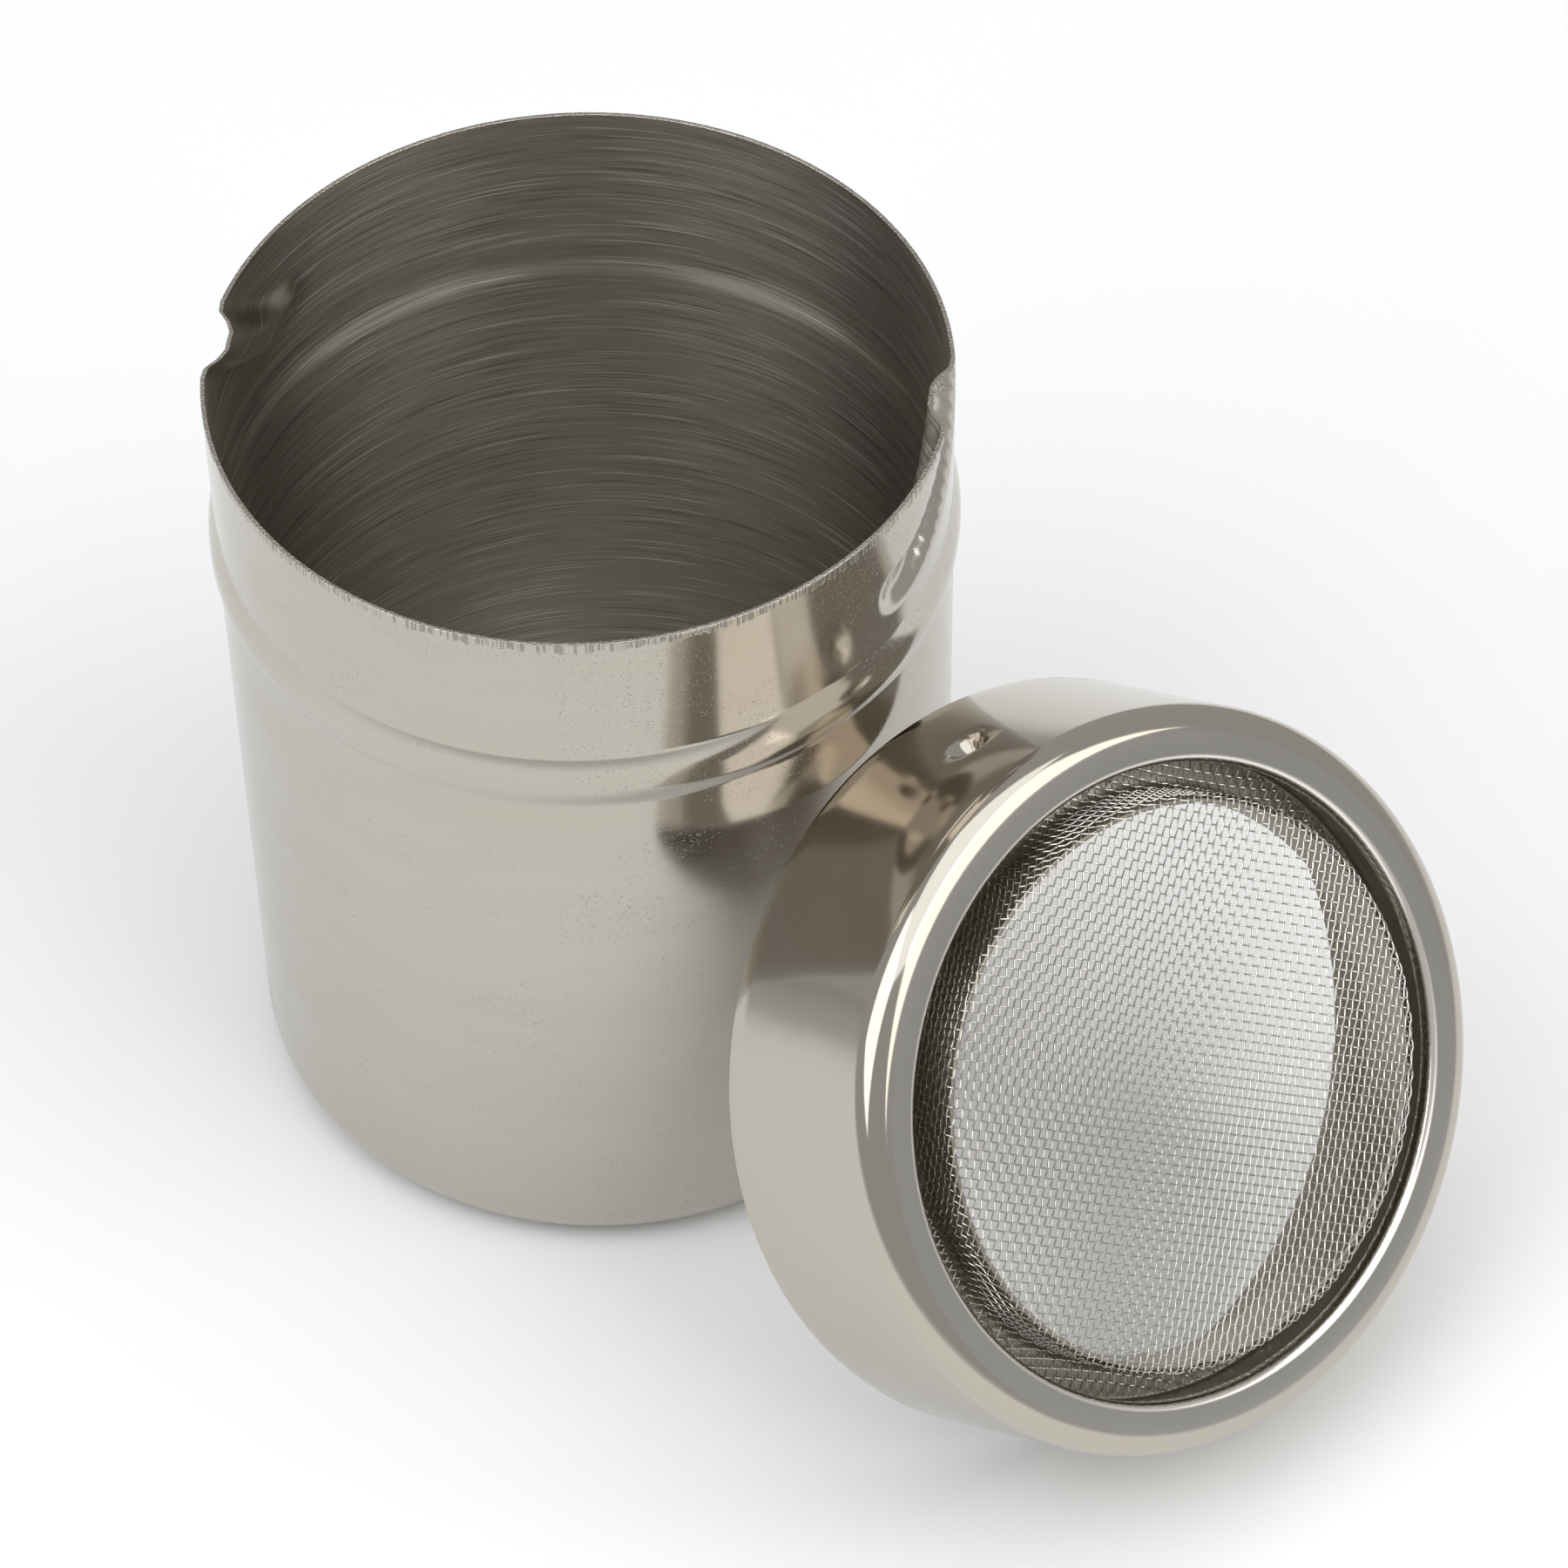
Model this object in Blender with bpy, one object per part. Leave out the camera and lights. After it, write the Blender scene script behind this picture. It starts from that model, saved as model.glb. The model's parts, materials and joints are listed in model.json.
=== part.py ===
"""Stainless-steel kitchen shaker: a deep-drawn cup and its bayonet lid with a woven wire screen.

The cup stands upright on its flat bottom. Its lid is off: it stands on its mouth edge beside the
cup and leans against the wall. Metres, +Z up, origin at the centre of the cup's underside.
"""
from math import atan2, cos, hypot, pi, radians, sin

import bmesh
import bpy

# ---- driving dimensions -----------------------------------------------------------------------
SHEET = 0.00045            # thickness of every steel sheet
GAP = 0.0003               # space between pieces that touch each other
SKIRT_FREE = 0.0001        # free play between the lid's skirt and what it slides over

# cup
CUP_HEIGHT = 0.0924
BODY_RADIUS = 0.0365       # outer radius of the straight wall
COLLAR_STEP = 0.0001       # the collar above the bead is this much narrower
BOTTOM_CORNER = 0.0052     # outer radius where the wall meets the bottom
BEAD_CENTRE_DROP = 0.0192  # rim to the middle of the rolled bead
BEAD_WIDTH = 0.0070
BEAD_RISE = 0.0007         # how far the bead stands out of the wall
BEAD_CREST = 0.45          # share of its width from its upper crease to its crest
BEAD_LEAN = 1.6            # over 1, the fall from the crest starts slowly and ends steeply

# bayonet channels pressed into the collar
CHANNEL_COUNT = 2
CHANNEL_START = radians(-10.0)   # direction of the first entry, at the rim
CHANNEL_SWEEP = radians(-25.0)   # from the entry to the locked end, clockwise seen from above
CHANNEL_DROP = 0.0101            # rim to the centre line of the locked end
CHANNEL_DEPTH = 0.0020
CHANNEL_END_DEPTH = 0.0012       # the channel gets shallower where the dimple locks
CHANNEL_FLAT = 0.0010            # half width of the channel's floor
CHANNEL_HALF_WIDTH = 0.0034      # centre line to where the wall is round again

# lid shell
LID_HEIGHT = 0.0226
SHOULDER_RADIUS = 0.0027         # rounding between the skirt and the flat rim
FLAT_RIM_WIDTH = 0.0056          # outside of the skirt's top to the inside of the turned-down lip
LIP_HEIGHT = 0.0018
LIP_ROUNDING = 0.0009
SEAT_BELOW_TOP = 0.0021          # top of the lid to the cup's rim when the lid is on
DIMPLE_RADIUS = 0.0026
DIMPLE_FREE = 0.0004             # free depth between a dimple and the channel's floor

# woven screen and the ring that carries it
SCREEN_THICKNESS = 0.00035
SCREEN_RISE = 0.0013             # how far the screen stands above the lid's flat rim
SCREEN_MARGIN = 0.0029           # inside of the lip to the raised drum of the screen
SCREEN_CORNER = 0.0009
SCREEN_DEPTH = 0.0069            # top of the screen to the top of its flange
RING_BEND = 0.0006               # bend radius of the ring, on the middle of its sheet
RING_SHOULDER_FREE = 0.0008      # ring's outer edge to the inside of the lid's shoulder

# how the lid leans on the cup
LEAN_AZIMUTH = radians(-51.0)    # direction in which the lid's top faces
LEAN_RISE = radians(33.66)       # how far the lid's axis points up
LEAN_PLACE = radians(-42.0)      # direction from the cup's axis to the centre of the lid's mouth

# sizes that follow from the ones above
COLLAR_RADIUS = BODY_RADIUS - COLLAR_STEP
MOUTH_RADIUS = BODY_RADIUS + BEAD_RISE + SKIRT_FREE + SHEET
SKIRT_TOP_RADIUS = COLLAR_RADIUS + SKIRT_FREE + SHEET
OPENING_RADIUS = SKIRT_TOP_RADIUS - FLAT_RIM_WIDTH
SCREEN_RADIUS = OPENING_RADIUS - SCREEN_MARGIN
DIMPLE_HEIGHT = LID_HEIGHT - SEAT_BELOW_TOP - CHANNEL_DROP
FLAT_RIM_UNDERSIDE = LID_HEIGHT - SHEET

# how finely round shapes are divided
COARSE_STEP = radians(7.0)
FINE_STEP = radians(2.3)
ROW_STEP = 0.0016
ARC_STEPS = 4


# ---- outlines ---------------------------------------------------------------------------------
def arc(centre, radius, start, end, steps=ARC_STEPS):
    """Points (radius, height) on an arc, both ends included."""
    angles = [start + (end - start) * i / steps for i in range(steps + 1)]
    return [(centre[0] + radius * cos(a), centre[1] + radius * sin(a)) for a in angles]


def rows(radius_at, low, high, step=ROW_STEP):
    """Points (radius, height) up a wall at even heights, both ends included."""
    count = max(1, round((high - low) / step))
    heights = [low + (high - low) * i / count for i in range(count + 1)]
    return [(radius_at(height), height) for height in heights]


def without_repeats(points):
    kept = [points[0]]
    for point in points[1:]:
        if hypot(point[0] - kept[-1][0], point[1] - kept[-1][1]) > 1e-7:
            kept.append(point)
    return kept


def offset(points, distance):
    """The same line moved to its left by a distance, with mitred corners."""
    moved = []
    for i, (radius, height) in enumerate(points):
        normals = []
        for j in (i - 1, i):
            if 0 <= j < len(points) - 1:
                run = points[j + 1][0] - points[j][0]
                rise = points[j + 1][1] - points[j][1]
                length = hypot(run, rise)
                normals.append((-rise / length, run / length))
        first, last = normals[0], normals[-1]
        share = distance / (1.0 + first[0] * last[0] + first[1] * last[1])
        moved.append((radius + share * (first[0] + last[0]), height + share * (first[1] + last[1])))
    return moved


def sheet_outline(points, left, right):
    """Closed outline of a sheet that reaches left and right of a line by these distances."""
    line = without_repeats(points)
    return offset(line, -right) + offset(line, left)[::-1]


def bead_radius(height):
    """Outer radius of the rolled bead: creased above its crest, rounded and steeper below it."""
    down = (CUP_HEIGHT - BEAD_CENTRE_DROP - height) / BEAD_WIDTH + 0.5
    down = min(max(down, 0.0), 1.0)
    if down < BEAD_CREST:
        swell = sin(pi / 2 * down / BEAD_CREST)
    else:
        fall = (down - BEAD_CREST) / (1.0 - BEAD_CREST)
        swell = 0.5 + 0.5 * cos(pi * fall ** BEAD_LEAN)
    return BODY_RADIUS - COLLAR_STEP * (1.0 - down) + BEAD_RISE * swell


def cup_outer_radius(height):
    """Outer radius of the cup at any height, without its channels."""
    bead_low = CUP_HEIGHT - BEAD_CENTRE_DROP - BEAD_WIDTH / 2
    if height < BOTTOM_CORNER:
        up = BOTTOM_CORNER - max(height, 0.0)
        return BODY_RADIUS - BOTTOM_CORNER + (BOTTOM_CORNER ** 2 - up ** 2) ** 0.5
    if height < bead_low:
        return BODY_RADIUS
    if height < bead_low + BEAD_WIDTH:
        return bead_radius(height)
    return COLLAR_RADIUS


def skirt_radius(height):
    """Outer radius of the lid's skirt, which widens a little towards its mouth."""
    share = height / (LID_HEIGHT - SHOULDER_RADIUS)
    return MOUTH_RADIUS + (SKIRT_TOP_RADIUS - MOUTH_RADIUS) * share


# ---- turned solids ----------------------------------------------------------------------------
def sectors(fine_from, fine_sweep, count):
    """Divides a full turn into fine stretches, count of them, with coarse stretches between."""
    turn = 2 * pi / count
    fine = (fine_sweep, max(1, round(fine_sweep / FINE_STEP)))
    rest = (turn - fine_sweep, max(1, round((turn - fine_sweep) / COARSE_STEP)))
    return fine_from, [fine, rest] * count


def even_turn(step=COARSE_STEP):
    return 0.0, [(2 * pi, round(2 * pi / step))]


def turned(name, outline, division, press, material):
    """Spins a closed outline round Z, presses its skins inwards and returns the object."""
    start, stretches = division
    shape = bmesh.new()
    corners = [shape.verts.new((r * cos(start), r * sin(start), z)) for r, z in outline]
    on_axis = outline[0][0] < 1e-7 and outline[-1][0] < 1e-7
    pairs = list(zip(corners, corners[1:]))
    if not on_axis:
        pairs.append((corners[-1], corners[0]))
    edge = corners + [shape.edges.new(pair) for pair in pairs]
    for sweep, steps in stretches:
        spun = bmesh.ops.spin(shape, geom=edge, cent=(0, 0, 0), axis=(0, 0, 1), angle=sweep, steps=steps)
        edge = spun["geom_last"]
    bmesh.ops.remove_doubles(shape, verts=shape.verts, dist=1e-6)
    bmesh.ops.dissolve_degenerate(shape, edges=shape.edges, dist=1e-7)
    for vert in shape.verts:
        radius = hypot(vert.co.x, vert.co.y)
        if radius > 1e-6:
            inwards = press(atan2(vert.co.y, vert.co.x), vert.co.z) / radius
            vert.co.x *= 1.0 - inwards
            vert.co.y *= 1.0 - inwards
    bmesh.ops.recalc_face_normals(shape, faces=shape.faces)
    mesh = bpy.data.meshes.new(name)
    shape.to_mesh(mesh)
    shape.free()
    mesh.shade_smooth()
    mesh.set_sharp_from_angle(angle=radians(40))
    mesh.materials.append(material)
    solid = bpy.data.objects.new(name, mesh)
    bpy.context.collection.objects.link(solid)
    return solid


def unpressed(angle, height):
    return 0.0


def fade(distance, full, none):
    """1 up to one distance, 0 beyond another, and a smooth curve between them."""
    share = min(max((distance - full) / (none - full), 0.0), 1.0)
    return 0.5 * (1.0 + cos(pi * share))


def angle_between(angle, other):
    return (angle - other + pi) % (2 * pi) - pi


# ---- the pieces -------------------------------------------------------------------------------
def channel_line():
    """Centre line of a channel on the unrolled collar: (share of its sweep, around, drop)."""
    length = CHANNEL_SWEEP * COLLAR_RADIUS
    shares = [i / 40 for i in range(-12, 41)]
    return [(share, share * length, CHANNEL_DROP * sin(pi / 2 * share)) for share in shares]


CHANNEL_LINE = channel_line()


def channel_press(angle, height):
    """How far the bayonet channels push the collar inwards."""
    deepest = 0.0
    drop = CUP_HEIGHT - height
    if drop > CHANNEL_DROP + 2 * CHANNEL_HALF_WIDTH:
        return deepest
    for i in range(CHANNEL_COUNT):
        entry = CHANNEL_START + 2 * pi * i / CHANNEL_COUNT
        around = angle_between(angle, entry) * COLLAR_RADIUS
        distance, share = min((hypot(around - a, drop - d), s) for s, a, d in CHANNEL_LINE)
        locked = 1.0 - fade(share, 0.6, 1.0)
        depth = CHANNEL_DEPTH + (CHANNEL_END_DEPTH - CHANNEL_DEPTH) * locked
        deepest = max(deepest, depth * fade(distance, CHANNEL_FLAT, CHANNEL_HALF_WIDTH))
    return deepest


def make_cup(material):
    bead_low = CUP_HEIGHT - BEAD_CENTRE_DROP - BEAD_WIDTH / 2
    bead_high = bead_low + BEAD_WIDTH
    channel_low = CUP_HEIGHT - CHANNEL_DROP - CHANNEL_HALF_WIDTH
    outer = [(0.0, 0.0)]
    outer += arc((BODY_RADIUS - BOTTOM_CORNER, BOTTOM_CORNER), BOTTOM_CORNER, -pi / 2, 0.0)
    outer += rows(bead_radius, bead_low, bead_high, BEAD_WIDTH / 8)
    outer += rows(cup_outer_radius, channel_low, CUP_HEIGHT)
    outline = sheet_outline(outer, SHEET, 0.0)
    margin = CHANNEL_HALF_WIDTH / COLLAR_RADIUS * 1.6
    fine_from = CHANNEL_START + CHANNEL_SWEEP - margin
    division = sectors(fine_from, -CHANNEL_SWEEP + 2 * margin, CHANNEL_COUNT)
    return turned("cup", outline, division, channel_press, material)


def dimple_press(angle, height):
    """How far the lid's dimples push its skirt inwards, one for each channel of the cup."""
    depth = skirt_radius(DIMPLE_HEIGHT) - SHEET - COLLAR_RADIUS + CHANNEL_DEPTH - DIMPLE_FREE
    deepest = 0.0
    for i in range(CHANNEL_COUNT):
        around = angle_between(angle, pi / 2 + 2 * pi * i / CHANNEL_COUNT) * SKIRT_TOP_RADIUS
        distance = hypot(around, height - DIMPLE_HEIGHT)
        deepest = max(deepest, depth * fade(distance, 0.0, DIMPLE_RADIUS))
    return deepest


def make_lid_shell(material):
    below = DIMPLE_HEIGHT - DIMPLE_RADIUS
    above = DIMPLE_HEIGHT + DIMPLE_RADIUS
    shoulder_low = LID_HEIGHT - SHOULDER_RADIUS
    outer = [(MOUTH_RADIUS, 0.0)]
    outer += rows(skirt_radius, below, above, DIMPLE_RADIUS / 2)
    outer += arc((SKIRT_TOP_RADIUS - SHOULDER_RADIUS, shoulder_low), SHOULDER_RADIUS, 0.0, pi / 2)
    outer += arc((OPENING_RADIUS + LIP_ROUNDING, LID_HEIGHT - LIP_ROUNDING), LIP_ROUNDING, pi / 2, pi)
    outer += [(OPENING_RADIUS, LID_HEIGHT - LIP_HEIGHT)]
    outline = sheet_outline(outer, SHEET, 0.0)
    margin = DIMPLE_RADIUS / SKIRT_TOP_RADIUS * 1.3
    division = sectors(pi / 2 - margin, 2 * margin, CHANNEL_COUNT)
    return turned("lid_shell", outline, division, dimple_press, material)


def screen_flange_top():
    """Height of the flange's upper face over the lid's mouth."""
    return LID_HEIGHT + SCREEN_RISE - SCREEN_DEPTH


def ring_wall_radius():
    """Middle of the ring's wall, which passes outside the lid's turned-down lip."""
    return OPENING_RADIUS + SHEET + GAP + SHEET / 2


def make_retaining_ring(material):
    """Ring with a channel that the screen's flange lies in and a tube that stands inside its wall."""
    top = FLAT_RIM_UNDERSIDE - GAP - SHEET / 2
    low = screen_flange_top() - SCREEN_THICKNESS - GAP - SHEET / 2
    wall = ring_wall_radius()
    corner = SHOULDER_RADIUS - SHEET
    down = corner - GAP
    corner_reach = (corner * corner - down * down) ** 0.5
    outer_edge = SKIRT_TOP_RADIUS - SHOULDER_RADIUS + corner_reach - RING_SHOULDER_FREE
    tube_bend = SCREEN_CORNER + SCREEN_THICKNESS + GAP + SHEET / 2
    tube_end = LID_HEIGHT + SCREEN_RISE - SCREEN_CORNER
    line = [(outer_edge, top)]
    line += arc((wall + RING_BEND, top - RING_BEND), RING_BEND, pi / 2, pi, 3)
    line += arc((wall - RING_BEND, low + RING_BEND), RING_BEND, 0.0, -pi / 2, 3)
    line += arc((SCREEN_RADIUS + SCREEN_CORNER, low + tube_bend), tube_bend, -pi / 2, -pi, 3)
    line += [(SCREEN_RADIUS + SCREEN_CORNER - tube_bend, tube_end)]
    outline = sheet_outline(line, SHEET / 2, SHEET / 2)
    return turned("retaining_ring", outline, even_turn(), unpressed, material)


def make_mesh_screen(material):
    top = LID_HEIGHT + SCREEN_RISE
    flange = screen_flange_top()
    flange_edge = ring_wall_radius() - SHEET / 2 - GAP
    corner = SCREEN_CORNER
    outer = [(0.0, top)]
    outer += arc((SCREEN_RADIUS - corner, top - corner), corner, pi / 2, 0.0, 3)
    outer += arc((SCREEN_RADIUS + corner, flange + corner), corner, pi, 3 * pi / 2, 3)
    outer += [(flange_edge, flange)]
    outline = sheet_outline(outer, 0.0, SCREEN_THICKNESS)
    return turned("mesh_screen", outline, even_turn(), unpressed, material)


# ---- placing the lid --------------------------------------------------------------------------
def mouth_gap(reach):
    """Smallest gap between the lid's mouth edge and the cup's wall, for a mouth centre this far."""
    across = (-sin(LEAN_AZIMUTH), cos(LEAN_AZIMUTH))
    up_slope = (-sin(LEAN_RISE) * cos(LEAN_AZIMUTH), -sin(LEAN_RISE) * sin(LEAN_AZIMUTH))
    smallest = reach
    for i in range(720):
        angle = 2 * pi * i / 720
        x = reach * cos(LEAN_PLACE) + MOUTH_RADIUS * (cos(angle) * across[0] + sin(angle) * up_slope[0])
        y = reach * sin(LEAN_PLACE) + MOUTH_RADIUS * (cos(angle) * across[1] + sin(angle) * up_slope[1])
        height = MOUTH_RADIUS * cos(LEAN_RISE) * (1.0 + sin(angle))
        if height <= CUP_HEIGHT:
            smallest = min(smallest, hypot(x, y) - cup_outer_radius(height))
    return smallest


def leaning_reach():
    """Distance of the mouth's centre from the cup's axis at which the lid just leans on the cup."""
    near, far = BODY_RADIUS, BODY_RADIUS + 2 * MOUTH_RADIUS
    for _ in range(40):
        middle = (near + far) / 2
        if mouth_gap(middle) < GAP:
            near = middle
        else:
            far = middle
    return far


def make_lean():
    """Empty at the centre of the lid's mouth, its Z along the way the lid lifts away."""
    lean = bpy.data.objects.new("lid_lean", None)
    bpy.context.collection.objects.link(lean)
    reach = leaning_reach()
    height = MOUTH_RADIUS * cos(LEAN_RISE)
    lean.location = (reach * cos(LEAN_PLACE), reach * sin(LEAN_PLACE), height)
    lean.rotation_euler = (pi / 2 - LEAN_RISE, 0.0, LEAN_AZIMUTH + pi / 2)
    return lean


def make_material(name, colour, roughness):
    material = bpy.data.materials.new(name)
    material.use_nodes = True
    shader = material.node_tree.nodes["Principled BSDF"]
    shader.inputs["Base Color"].default_value = (*colour, 1.0)
    shader.inputs["Metallic"].default_value = 1.0
    shader.inputs["Roughness"].default_value = roughness
    return material


def main():
    for item in list(bpy.data.objects):
        bpy.data.objects.remove(item)
    make_cup(make_material("polished_cup_steel", (0.62, 0.60, 0.56), 0.16))
    lean = make_lean()
    lid_pieces = [
        make_lid_shell(make_material("polished_lid_steel", (0.64, 0.62, 0.57), 0.12)),
        make_retaining_ring(make_material("plain_ring_steel", (0.50, 0.49, 0.47), 0.35)),
        make_mesh_screen(make_material("woven_wire_steel", (0.66, 0.66, 0.65), 0.25)),
    ]
    for piece in lid_pieces:
        piece.parent = lean


main()
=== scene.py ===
"""Looks of the kitchen shaker: polished cup, polished lid and its woven wire screen."""
import json
from math import cos, hypot, pi, radians, sin, sqrt

import bpy
import numpy as np
from mathutils import Matrix, Vector


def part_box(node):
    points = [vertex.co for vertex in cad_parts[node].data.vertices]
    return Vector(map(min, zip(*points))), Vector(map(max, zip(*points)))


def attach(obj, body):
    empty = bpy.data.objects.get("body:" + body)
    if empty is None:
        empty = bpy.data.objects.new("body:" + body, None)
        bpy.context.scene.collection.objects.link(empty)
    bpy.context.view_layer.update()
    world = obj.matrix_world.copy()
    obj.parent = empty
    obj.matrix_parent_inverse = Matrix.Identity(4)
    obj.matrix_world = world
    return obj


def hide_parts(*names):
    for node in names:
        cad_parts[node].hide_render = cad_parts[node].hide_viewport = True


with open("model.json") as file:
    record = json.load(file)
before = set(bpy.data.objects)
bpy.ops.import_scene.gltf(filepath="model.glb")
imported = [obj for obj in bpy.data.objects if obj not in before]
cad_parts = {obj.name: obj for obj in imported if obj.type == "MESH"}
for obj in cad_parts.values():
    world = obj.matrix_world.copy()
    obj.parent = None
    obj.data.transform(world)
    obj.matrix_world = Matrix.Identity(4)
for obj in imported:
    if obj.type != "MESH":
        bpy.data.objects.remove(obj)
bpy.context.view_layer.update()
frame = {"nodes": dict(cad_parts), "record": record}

# ---- sizes in metres ---------------------------------------------------------------------------
SHEET = 0.00045
EDGE_ROUND = 0.00010            # rounding of the cut sheet edges

CUP_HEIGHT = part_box("cup")[1][2]
BODY_RADIUS = 0.0365
COLLAR_RADIUS = 0.0364
BOTTOM_CORNER = 0.0052
BEAD_CENTRE_DROP = 0.0192
BEAD_WIDTH = 0.0070
BEAD_RISE = 0.0007
BEAD_CREST = 0.45               # share of its width from its upper crease to its crest
BEAD_LEAN = 1.6                 # over 1, the fall from the crest starts slowly and ends steeply
CREASE_HOLD = 0.00015           # plain wall that holds a crease sharp beside it
CHANNEL_COUNT = 2
CHANNEL_START = radians(-10.0)
CHANNEL_SWEEP = radians(-25.0)
CHANNEL_DROP = 0.0101
CHANNEL_DEPTH = 0.0020
CHANNEL_END_DEPTH = 0.0012
CHANNEL_FLAT = 0.0010
CHANNEL_HALF_WIDTH = 0.0034

SHOULDER_RADIUS = 0.0027
OPENING_RADIUS = 0.0314
LIP_HEIGHT = 0.0018
LIP_ROUNDING = 0.0009
SEAT_BELOW_TOP = 0.0021
SKIRT_PLAY = 0.0001
DIMPLE_RADIUS = 0.0026
DIMPLE_FREE = 0.0004

SCREEN_THICKNESS = 0.00035
SCREEN_RISE = 0.0013
SCREEN_RADIUS = 0.0285
SCREEN_CORNER = 0.0009
SCREEN_DEPTH = 0.0069
RING_BEND = 0.0006
RING_SHOULDER_FREE = 0.0008
PIECE_GAP = 0.0003

WIRE_RADIUS = 0.00008
WIRE_CRIMP = 0.000075           # how far a wire's centre swings to each side of the weave
WARP_PITCH = 0.00079
WEFT_PITCH = 0.00092
WARP_DIRECTION = radians(51.3)  # in the plane of the screen, from level towards up-slope

# ---- fineness of the meshes, and small allowances ----------------------------------------------
MOUTH_BAND = 0.00005            # points this near the lowest ones lie on the lid's mouth
CLOSEST_POINTS = 0.000001       # outline points nearer than this are the same point
WELD_DISTANCE = 0.000002
LEAST_LENGTH = 0.000000001      # keeps a length that is divided by from being nothing
EDGE_STEPS = 4
BEND_STEPS = 8
CORNER_STEPS = 10
SHOULDER_STEPS = 16
BEAD_ROWS = 20
WALL_ROW = 0.008                # heights of one row of faces on each kind of wall
SKIRT_ROW = 0.002
COLLAR_ROW = 0.0008
PRESSED_ROW = 0.0002
PRESSED_TURN = radians(0.35)    # turn between two columns of faces where the sheet is pressed in
CUP_TURN = radians(2.1)
LID_TURN = radians(1.6)
RING_STEPS = 180
CHANNEL_MARGIN = 1.6            # half widths of fine mesh on each side of a channel's path
DIMPLE_MARGIN = 1.3
PATH_STEPS = 200                # points tried along a channel's path
PATH_LEAD = 60                  # and before its start, where it runs out over the rim
LOCK_START = 0.6                # share of the path at which the channel gets shallower
WIRE_POINTS = 4                 # points of a wire for each wire that it crosses
SHARP_ANGLE = radians(50.0)
FLOOR_SHARE = 0.5               # a face of the cup's floor points up by more than this share
LEVEL_SHARE = 0.3               # and a wall of the lid up or down by less than this one
ROUNDING_ERROR = 0.000001

# ---- the lid's place, read from the frame ------------------------------------------------------
LIFT_AXIS = Vector(frame["record"]["behaviour"]["joints"][0]["axis"]).normalized()


def shell_measures():
    """Centre and radius of the lid's mouth, and the lid's height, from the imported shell."""
    mesh = frame["nodes"]["lid_shell"].data
    points = np.empty(len(mesh.vertices) * 3)
    mesh.vertices.foreach_get("co", points)
    points = points.reshape(-1, 3)
    heights = points @ np.array(LIFT_AXIS)
    mouth = points[heights < heights.min() + MOUTH_BAND]
    radius = np.ptp(mouth @ np.array(LIFT_AXIS.cross(Vector((0, 0, 1))).normalized())) / 2
    centre = Vector(mouth.mean(axis=0))
    return centre, radius, heights.max() - heights.min()


MOUTH_CENTRE, MOUTH_RADIUS, LID_HEIGHT = shell_measures()
SKIRT_TOP_RADIUS = COLLAR_RADIUS + SKIRT_PLAY + SHEET
DIMPLE_HEIGHT = LID_HEIGHT - SEAT_BELOW_TOP - CHANNEL_DROP


def lid_placement():
    """Turns the lid's own frame, Z from its mouth to its top, into its place beside the cup."""
    across = Vector((-LIFT_AXIS.y, LIFT_AXIS.x, 0.0)).normalized()
    up_slope = LIFT_AXIS.cross(across)
    turn = Matrix((across, up_slope, LIFT_AXIS)).transposed().to_4x4()
    return Matrix.Translation(MOUTH_CENTRE) @ turn


LID_PLACE = lid_placement()
UPRIGHT = Matrix.Identity(4)


# ---- outlines: lists of (radius, height) -------------------------------------------------------
def arc(centre, radius, start, end, steps):
    """Points of a round stretch from one angle to another."""
    angles = [start + (end - start) * i / steps for i in range(steps + 1)]
    return [(centre[0] + radius * cos(a), centre[1] + radius * sin(a)) for a in angles]


def rows(radius_at, low, high, step):
    """Points up a wall whose radius follows from the height, about one step apart."""
    count = max(1, round((high - low) / step))
    heights = [low + (high - low) * i / count for i in range(count + 1)]
    return [(radius_at(height), height) for height in heights]


def without_repeats(points):
    """The same points without those that lie on the one before."""
    kept = [points[0]]
    for point in points[1:]:
        if hypot(point[0] - kept[-1][0], point[1] - kept[-1][1]) > CLOSEST_POINTS:
            kept.append(point)
    return kept


def offset(points, distance):
    """The same line moved to its left by a distance, with mitred corners."""
    moved = []
    for i, (radius, height) in enumerate(points):
        normals = []
        for j in (i - 1, i):
            if 0 <= j < len(points) - 1:
                run = points[j + 1][0] - points[j][0]
                rise = points[j + 1][1] - points[j][1]
                length = hypot(run, rise)
                normals.append((-rise / length, run / length))
        first, last = normals[0], normals[-1]
        share = distance / (1.0 + first[0] * last[0] + first[1] * last[1])
        moved.append((radius + share * (first[0] + last[0]), height + share * (first[1] + last[1])))
    return moved


def cut_edge(start, end):
    """Rounded cut edge of a sheet, from the end of one skin to the end of the other."""
    across = (Vector(end) - Vector(start)).normalized()
    out = Vector((across.y, -across.x))
    turns = [pi / 2 * i / EDGE_STEPS for i in range(EDGE_STEPS + 1)]
    points = []
    for turn in turns:
        centre = Vector(start) + EDGE_ROUND * across
        points.append(centre + EDGE_ROUND * (sin(turn) * out - cos(turn) * across))
    for turn in turns:
        centre = Vector(end) - EDGE_ROUND * across
        points.append(centre + EDGE_ROUND * (cos(turn) * out + sin(turn) * across))
    return [tuple(point) for point in points]


def sheet_outline(points, right, left, closed):
    """Outline of a sheet on both sides of a line, with rounded cut edges at its free ends."""
    middle = without_repeats(points)
    outer = offset(middle, -right)
    inner = offset(middle, left)[::-1]
    outline = outer + cut_edge(outer[-1], inner[0]) + inner
    if closed:
        outline += cut_edge(inner[-1], outer[0]) + [outer[0]]
    return without_repeats(outline)


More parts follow.
